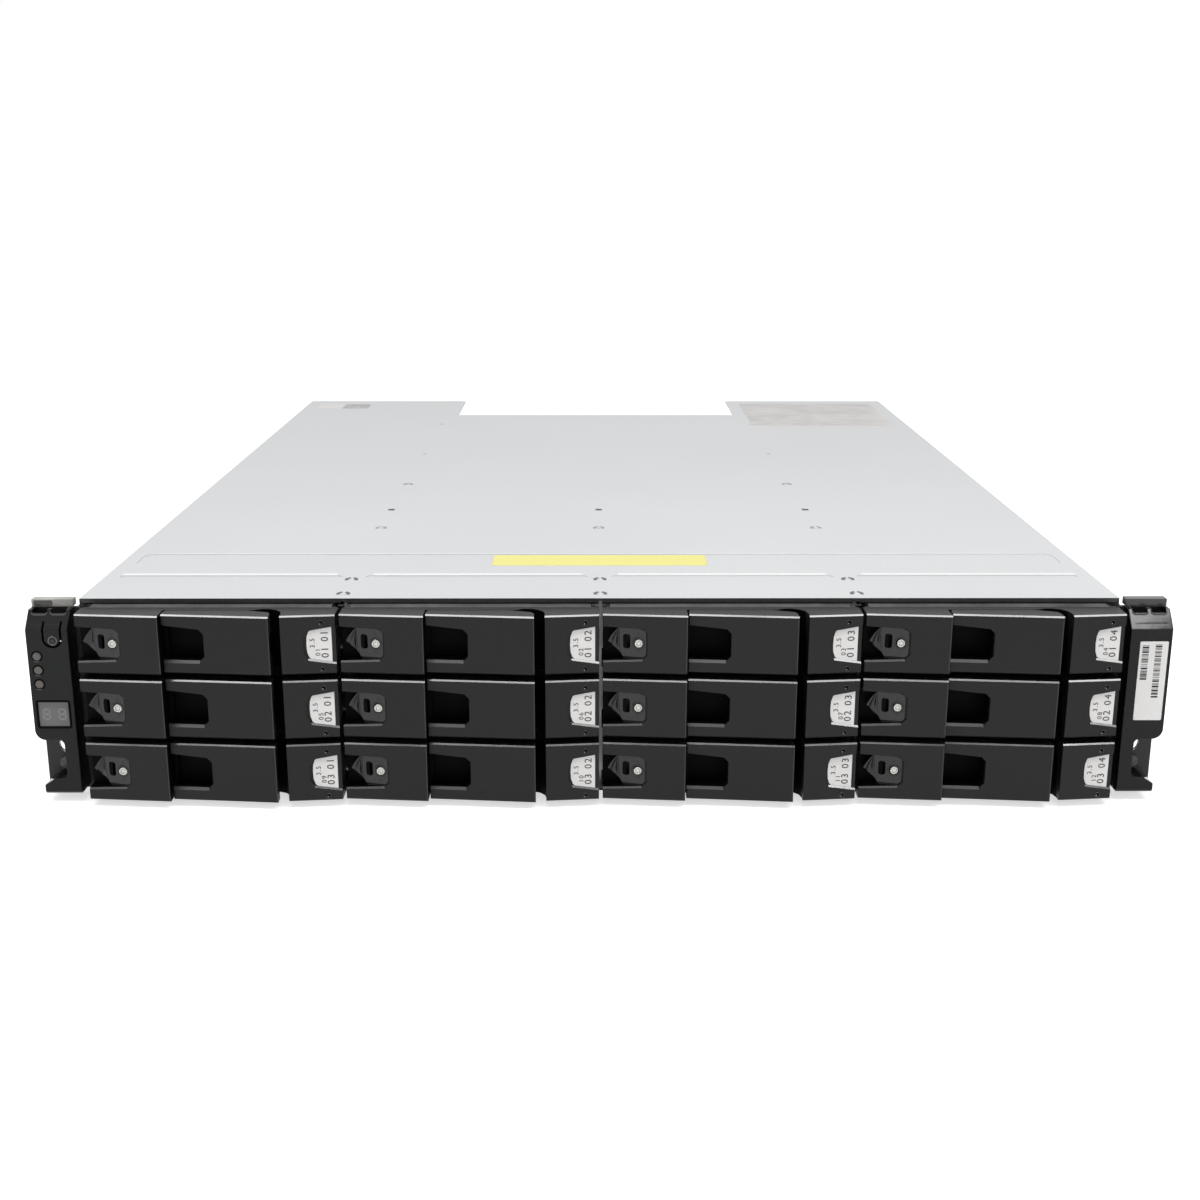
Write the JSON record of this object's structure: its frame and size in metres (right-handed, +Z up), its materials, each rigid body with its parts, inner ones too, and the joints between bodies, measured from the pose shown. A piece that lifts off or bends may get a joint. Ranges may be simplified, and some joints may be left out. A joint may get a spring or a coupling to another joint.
{
  "type": "disk shelf enclosure",
  "caption": "Two-unit rack disk shelf: steel chassis with rack ears, front drive carriers with hinged handles, and slide-out power and interface modules at the rear.",
  "frame": {"origin": "on the underside, below the middle of the whole shelf from handles to module latches", "axes": "+X to the right seen from the front, +Y towards the rear, +Z up"},
  "size_m": [0.483, 0.6234, 0.0879],
  "materials": {
    "cover_steel": "plain zinc-coated sheet, slightly scuffed",
    "chassis_steel": "plain zinc-coated sheet",
    "black_steel": "black powder coat",
    "circuit_board": "glass-fibre board with solder mask",
    "ear_plastic": "glossy black moulding",
    "panel_lens": "smoked lens",
    "front_plastic": "fine-textured black moulding",
    "lock_steel": "bright plated screw",
    "carrier_assembly": "black moulded front on a steel tray that holds a cast drive",
    "module_steel": "plain zinc-coated sheet",
    "latch_plastic": "black moulding",
    "switch_plastic": "glossy black moulding",
    "fan_plastic": "black moulding"
  },
  "bodies": {
    "chassis": {"chassis_base": "chassis_steel", "top_cover": "cover_steel", "bay_dividers": "chassis_steel", "bay_runners": "chassis_steel", "midplane": "circuit_board", "rear_bay_walls": "chassis_steel", "rack_flanges": "black_steel", "right_ear_cap": "ear_plastic", "left_ear_cap": "ear_plastic", "operator_panel": "panel_lens"},
    "carrier_01": {"carrier_01": "carrier_assembly"},
    "carrier_handle_01": {"carrier_handle_01": "front_plastic"},
    "carrier_lock_01": {"carrier_lock_01": "lock_steel"},
    "carrier_02": {"carrier_02": "carrier_assembly"},
    "carrier_handle_02": {"carrier_handle_02": "front_plastic"},
    "carrier_lock_02": {"carrier_lock_02": "lock_steel"},
    "carrier_03": {"carrier_03": "carrier_assembly"},
    "carrier_handle_03": {"carrier_handle_03": "front_plastic"},
    "carrier_lock_03": {"carrier_lock_03": "lock_steel"},
    "carrier_04": {"carrier_04": "carrier_assembly"},
    "carrier_handle_04": {"carrier_handle_04": "front_plastic"},
    "carrier_lock_04": {"carrier_lock_04": "lock_steel"},
    "carrier_05": {"carrier_05": "carrier_assembly"},
    "carrier_handle_05": {"carrier_handle_05": "front_plastic"},
    "carrier_lock_05": {"carrier_lock_05": "lock_steel"},
    "carrier_06": {"carrier_06": "carrier_assembly"},
    "carrier_handle_06": {"carrier_handle_06": "front_plastic"},
    "carrier_lock_06": {"carrier_lock_06": "lock_steel"},
    "carrier_07": {"carrier_07": "carrier_assembly"},
    "carrier_handle_07": {"carrier_handle_07": "front_plastic"},
    "carrier_lock_07": {"carrier_lock_07": "lock_steel"},
    "carrier_08": {"carrier_08": "carrier_assembly"},
    "carrier_handle_08": {"carrier_handle_08": "front_plastic"},
    "carrier_lock_08": {"carrier_lock_08": "lock_steel"},
    "carrier_09": {"carrier_09": "carrier_assembly"},
    "carrier_handle_09": {"carrier_handle_09": "front_plastic"},
    "carrier_lock_09": {"carrier_lock_09": "lock_steel"},
    "carrier_10": {"carrier_10": "carrier_assembly"},
    "carrier_handle_10": {"carrier_handle_10": "front_plastic"},
    "carrier_lock_10": {"carrier_lock_10": "lock_steel"},
    "carrier_11": {"carrier_11": "carrier_assembly"},
    "carrier_handle_11": {"carrier_handle_11": "front_plastic"},
    "carrier_lock_11": {"carrier_lock_11": "lock_steel"},
    "carrier_12": {"carrier_12": "carrier_assembly"},
    "carrier_handle_12": {"carrier_handle_12": "front_plastic"},
    "carrier_lock_12": {"carrier_lock_12": "lock_steel"},
    "power_module_left": {"power_module_left": "module_steel"},
    "power_latch_left": {"power_latch_left": "latch_plastic"},
    "power_switch_left": {"power_switch_left": "switch_plastic"},
    "fan_rotor_left_lower": {"fan_rotor_left_lower": "fan_plastic"},
    "fan_rotor_left_upper": {"fan_rotor_left_upper": "fan_plastic"},
    "power_module_right": {"power_module_right": "module_steel"},
    "power_latch_right": {"power_latch_right": "latch_plastic"},
    "power_switch_right": {"power_switch_right": "switch_plastic"},
    "fan_rotor_right_lower": {"fan_rotor_right_lower": "fan_plastic"},
    "fan_rotor_right_upper": {"fan_rotor_right_upper": "fan_plastic"},
    "io_module_lower": {"io_module_lower": "module_steel"},
    "io_lever_lower": {"io_lever_lower": "latch_plastic"},
    "io_module_upper": {"io_module_upper": "module_steel"},
    "io_lever_upper": {"io_lever_upper": "latch_plastic"}
  },
  "joints": [
    {"name": "carrier_slide_01", "type": "slide", "parent": "chassis", "child": "carrier_01", "axis": [0, -1, 0], "range_m": [0, 0.18]},
    {"name": "handle_hinge_01", "type": "hinge", "parent": "carrier_01", "child": "carrier_handle_01", "pos_m": [-0.1408, -0.30655, 0.07265], "axis": [0, 0, 1], "range_deg": [0, 50]},
    {"name": "lock_turn_01", "type": "hinge", "parent": "carrier_01", "child": "carrier_lock_01", "pos_m": [-0.204, -0.30165, 0.07265], "axis": [0, 1, 0], "range_deg": [0, 90]},
    {"name": "carrier_slide_02", "type": "slide", "parent": "chassis", "child": "carrier_02", "axis": [0, -1, 0], "range_m": [0, 0.18]},
    {"name": "handle_hinge_02", "type": "hinge", "parent": "carrier_02", "child": "carrier_handle_02", "pos_m": [-0.0308, -0.30655, 0.07265], "axis": [0, 0, 1], "range_deg": [0, 50]},
    {"name": "lock_turn_02", "type": "hinge", "parent": "carrier_02", "child": "carrier_lock_02", "pos_m": [-0.094, -0.30165, 0.07265], "axis": [0, 1, 0], "range_deg": [0, 90]},
    {"name": "carrier_slide_03", "type": "slide", "parent": "chassis", "child": "carrier_03", "axis": [0, -1, 0], "range_m": [0, 0.18]},
    {"name": "handle_hinge_03", "type": "hinge", "parent": "carrier_03", "child": "carrier_handle_03", "pos_m": [0.0792, -0.30655, 0.07265], "axis": [0, 0, 1], "range_deg": [0, 50]},
    {"name": "lock_turn_03", "type": "hinge", "parent": "carrier_03", "child": "carrier_lock_03", "pos_m": [0.016, -0.30165, 0.07265], "axis": [0, 1, 0], "range_deg": [0, 90]},
    {"name": "carrier_slide_04", "type": "slide", "parent": "chassis", "child": "carrier_04", "axis": [0, -1, 0], "range_m": [0, 0.18]},
    {"name": "handle_hinge_04", "type": "hinge", "parent": "carrier_04", "child": "carrier_handle_04", "pos_m": [0.1892, -0.30655, 0.07265], "axis": [0, 0, 1], "range_deg": [0, 50]},
    {"name": "lock_turn_04", "type": "hinge", "parent": "carrier_04", "child": "carrier_lock_04", "pos_m": [0.126, -0.30165, 0.07265], "axis": [0, 1, 0], "range_deg": [0, 90]},
    {"name": "carrier_slide_05", "type": "slide", "parent": "chassis", "child": "carrier_05", "axis": [0, -1, 0], "range_m": [0, 0.18]},
    {"name": "handle_hinge_05", "type": "hinge", "parent": "carrier_05", "child": "carrier_handle_05", "pos_m": [-0.1408, -0.30655, 0.04415], "axis": [0, 0, 1], "range_deg": [0, 50]},
    {"name": "lock_turn_05", "type": "hinge", "parent": "carrier_05", "child": "carrier_lock_05", "pos_m": [-0.204, -0.30165, 0.04415], "axis": [0, 1, 0], "range_deg": [0, 90]},
    {"name": "carrier_slide_06", "type": "slide", "parent": "chassis", "child": "carrier_06", "axis": [0, -1, 0], "range_m": [0, 0.18]},
    {"name": "handle_hinge_06", "type": "hinge", "parent": "carrier_06", "child": "carrier_handle_06", "pos_m": [-0.0308, -0.30655, 0.04415], "axis": [0, 0, 1], "range_deg": [0, 50]},
    {"name": "lock_turn_06", "type": "hinge", "parent": "carrier_06", "child": "carrier_lock_06", "pos_m": [-0.094, -0.30165, 0.04415], "axis": [0, 1, 0], "range_deg": [0, 90]},
    {"name": "carrier_slide_07", "type": "slide", "parent": "chassis", "child": "carrier_07", "axis": [0, -1, 0], "range_m": [0, 0.18]},
    {"name": "handle_hinge_07", "type": "hinge", "parent": "carrier_07", "child": "carrier_handle_07", "pos_m": [0.0792, -0.30655, 0.04415], "axis": [0, 0, 1], "range_deg": [0, 50]},
    {"name": "lock_turn_07", "type": "hinge", "parent": "carrier_07", "child": "carrier_lock_07", "pos_m": [0.016, -0.30165, 0.04415], "axis": [0, 1, 0], "range_deg": [0, 90]},
    {"name": "carrier_slide_08", "type": "slide", "parent": "chassis", "child": "carrier_08", "axis": [0, -1, 0], "range_m": [0, 0.18]},
    {"name": "handle_hinge_08", "type": "hinge", "parent": "carrier_08", "child": "carrier_handle_08", "pos_m": [0.1892, -0.30655, 0.04415], "axis": [0, 0, 1], "range_deg": [0, 50]},
    {"name": "lock_turn_08", "type": "hinge", "parent": "carrier_08", "child": "carrier_lock_08", "pos_m": [0.126, -0.30165, 0.04415], "axis": [0, 1, 0], "range_deg": [0, 90]},
    {"name": "carrier_slide_09", "type": "slide", "parent": "chassis", "child": "carrier_09", "axis": [0, -1, 0], "range_m": [0, 0.18]},
    {"name": "handle_hinge_09", "type": "hinge", "parent": "carrier_09", "child": "carrier_handle_09", "pos_m": [-0.1408, -0.30655, 0.01565], "axis": [0, 0, 1], "range_deg": [0, 50]},
    {"name": "lock_turn_09", "type": "hinge", "parent": "carrier_09", "child": "carrier_lock_09", "pos_m": [-0.204, -0.30165, 0.01565], "axis": [0, 1, 0], "range_deg": [0, 90]},
    {"name": "carrier_slide_10", "type": "slide", "parent": "chassis", "child": "carrier_10", "axis": [0, -1, 0], "range_m": [0, 0.18]},
    {"name": "handle_hinge_10", "type": "hinge", "parent": "carrier_10", "child": "carrier_handle_10", "pos_m": [-0.0308, -0.30655, 0.01565], "axis": [0, 0, 1], "range_deg": [0, 50]},
    {"name": "lock_turn_10", "type": "hinge", "parent": "carrier_10", "child": "carrier_lock_10", "pos_m": [-0.094, -0.30165, 0.01565], "axis": [0, 1, 0], "range_deg": [0, 90]},
    {"name": "carrier_slide_11", "type": "slide", "parent": "chassis", "child": "carrier_11", "axis": [0, -1, 0], "range_m": [0, 0.18]},
    {"name": "handle_hinge_11", "type": "hinge", "parent": "carrier_11", "child": "carrier_handle_11", "pos_m": [0.0792, -0.30655, 0.01565], "axis": [0, 0, 1], "range_deg": [0, 50]},
    {"name": "lock_turn_11", "type": "hinge", "parent": "carrier_11", "child": "carrier_lock_11", "pos_m": [0.016, -0.30165, 0.01565], "axis": [0, 1, 0], "range_deg": [0, 90]},
    {"name": "carrier_slide_12", "type": "slide", "parent": "chassis", "child": "carrier_12", "axis": [0, -1, 0], "range_m": [0, 0.18]},
    {"name": "handle_hinge_12", "type": "hinge", "parent": "carrier_12", "child": "carrier_handle_12", "pos_m": [0.1892, -0.30655, 0.01565], "axis": [0, 0, 1], "range_deg": [0, 50]},
    {"name": "lock_turn_12", "type": "hinge", "parent": "carrier_12", "child": "carrier_lock_12", "pos_m": [0.126, -0.30165, 0.01565], "axis": [0, 1, 0], "range_deg": [0, 90]},
    {"name": "power_slide_left", "type": "slide", "parent": "chassis", "child": "power_module_left", "axis": [0, 1, 0], "range_m": [0, 0.36]},
    {"name": "latch_hinge_left", "type": "hinge", "parent": "power_module_left", "child": "power_latch_left", "pos_m": [-0.1666, 0.29465, 0.0158], "axis": [-1, 0, 0], "range_deg": [0, 80]},
    {"name": "switch_rock_left", "type": "hinge", "parent": "power_module_left", "child": "power_switch_left", "pos_m": [-0.1931, 0.28305, 0.0418], "axis": [-1, 0, 0], "range_deg": [0, 12]},
    {"name": "fan_spin_left_lower", "type": "hinge", "parent": "power_module_left", "child": "fan_rotor_left_lower", "pos_m": [-0.1401, 0.27065, 0.02287], "axis": [0, 1, 0], "continuous": true},
    {"name": "fan_spin_left_upper", "type": "hinge", "parent": "power_module_left", "child": "fan_rotor_left_upper", "pos_m": [-0.1401, 0.27065, 0.06502], "axis": [0, 1, 0], "continuous": true},
    {"name": "power_slide_right", "type": "slide", "parent": "chassis", "child": "power_module_right", "axis": [0, 1, 0], "range_m": [0, 0.36]},
    {"name": "latch_hinge_right", "type": "hinge", "parent": "power_module_right", "child": "power_latch_right", "pos_m": [0.1631, 0.29465, 0.0158], "axis": [-1, 0, 0], "range_deg": [0, 80]},
    {"name": "switch_rock_right", "type": "hinge", "parent": "power_module_right", "child": "power_switch_right", "pos_m": [0.1366, 0.28305, 0.0418], "axis": [-1, 0, 0], "range_deg": [0, 12]},
    {"name": "fan_spin_right_lower", "type": "hinge", "parent": "power_module_right", "child": "fan_rotor_right_lower", "pos_m": [0.1896, 0.27065, 0.02287], "axis": [0, 1, 0], "continuous": true},
    {"name": "fan_spin_right_upper", "type": "hinge", "parent": "power_module_right", "child": "fan_rotor_right_upper", "pos_m": [0.1896, 0.27065, 0.06502], "axis": [0, 1, 0], "continuous": true},
    {"name": "io_slide_lower", "type": "slide", "parent": "chassis", "child": "io_module_lower", "axis": [0, 1, 0], "range_m": [0, 0.3]},
    {"name": "io_lever_hinge_lower", "type": "hinge", "parent": "io_module_lower", "child": "io_lever_lower", "pos_m": [0.092, 0.22175, 0.0109], "axis": [0, 0, -1], "range_deg": [0, 75]},
    {"name": "io_slide_upper", "type": "slide", "parent": "chassis", "child": "io_module_upper", "axis": [0, 1, 0], "range_m": [0, 0.3]},
    {"name": "io_lever_hinge_upper", "type": "hinge", "parent": "io_module_upper", "child": "io_lever_upper", "pos_m": [0.092, 0.22175, 0.05425], "axis": [0, 0, -1], "range_deg": [0, 75]}
  ]
}
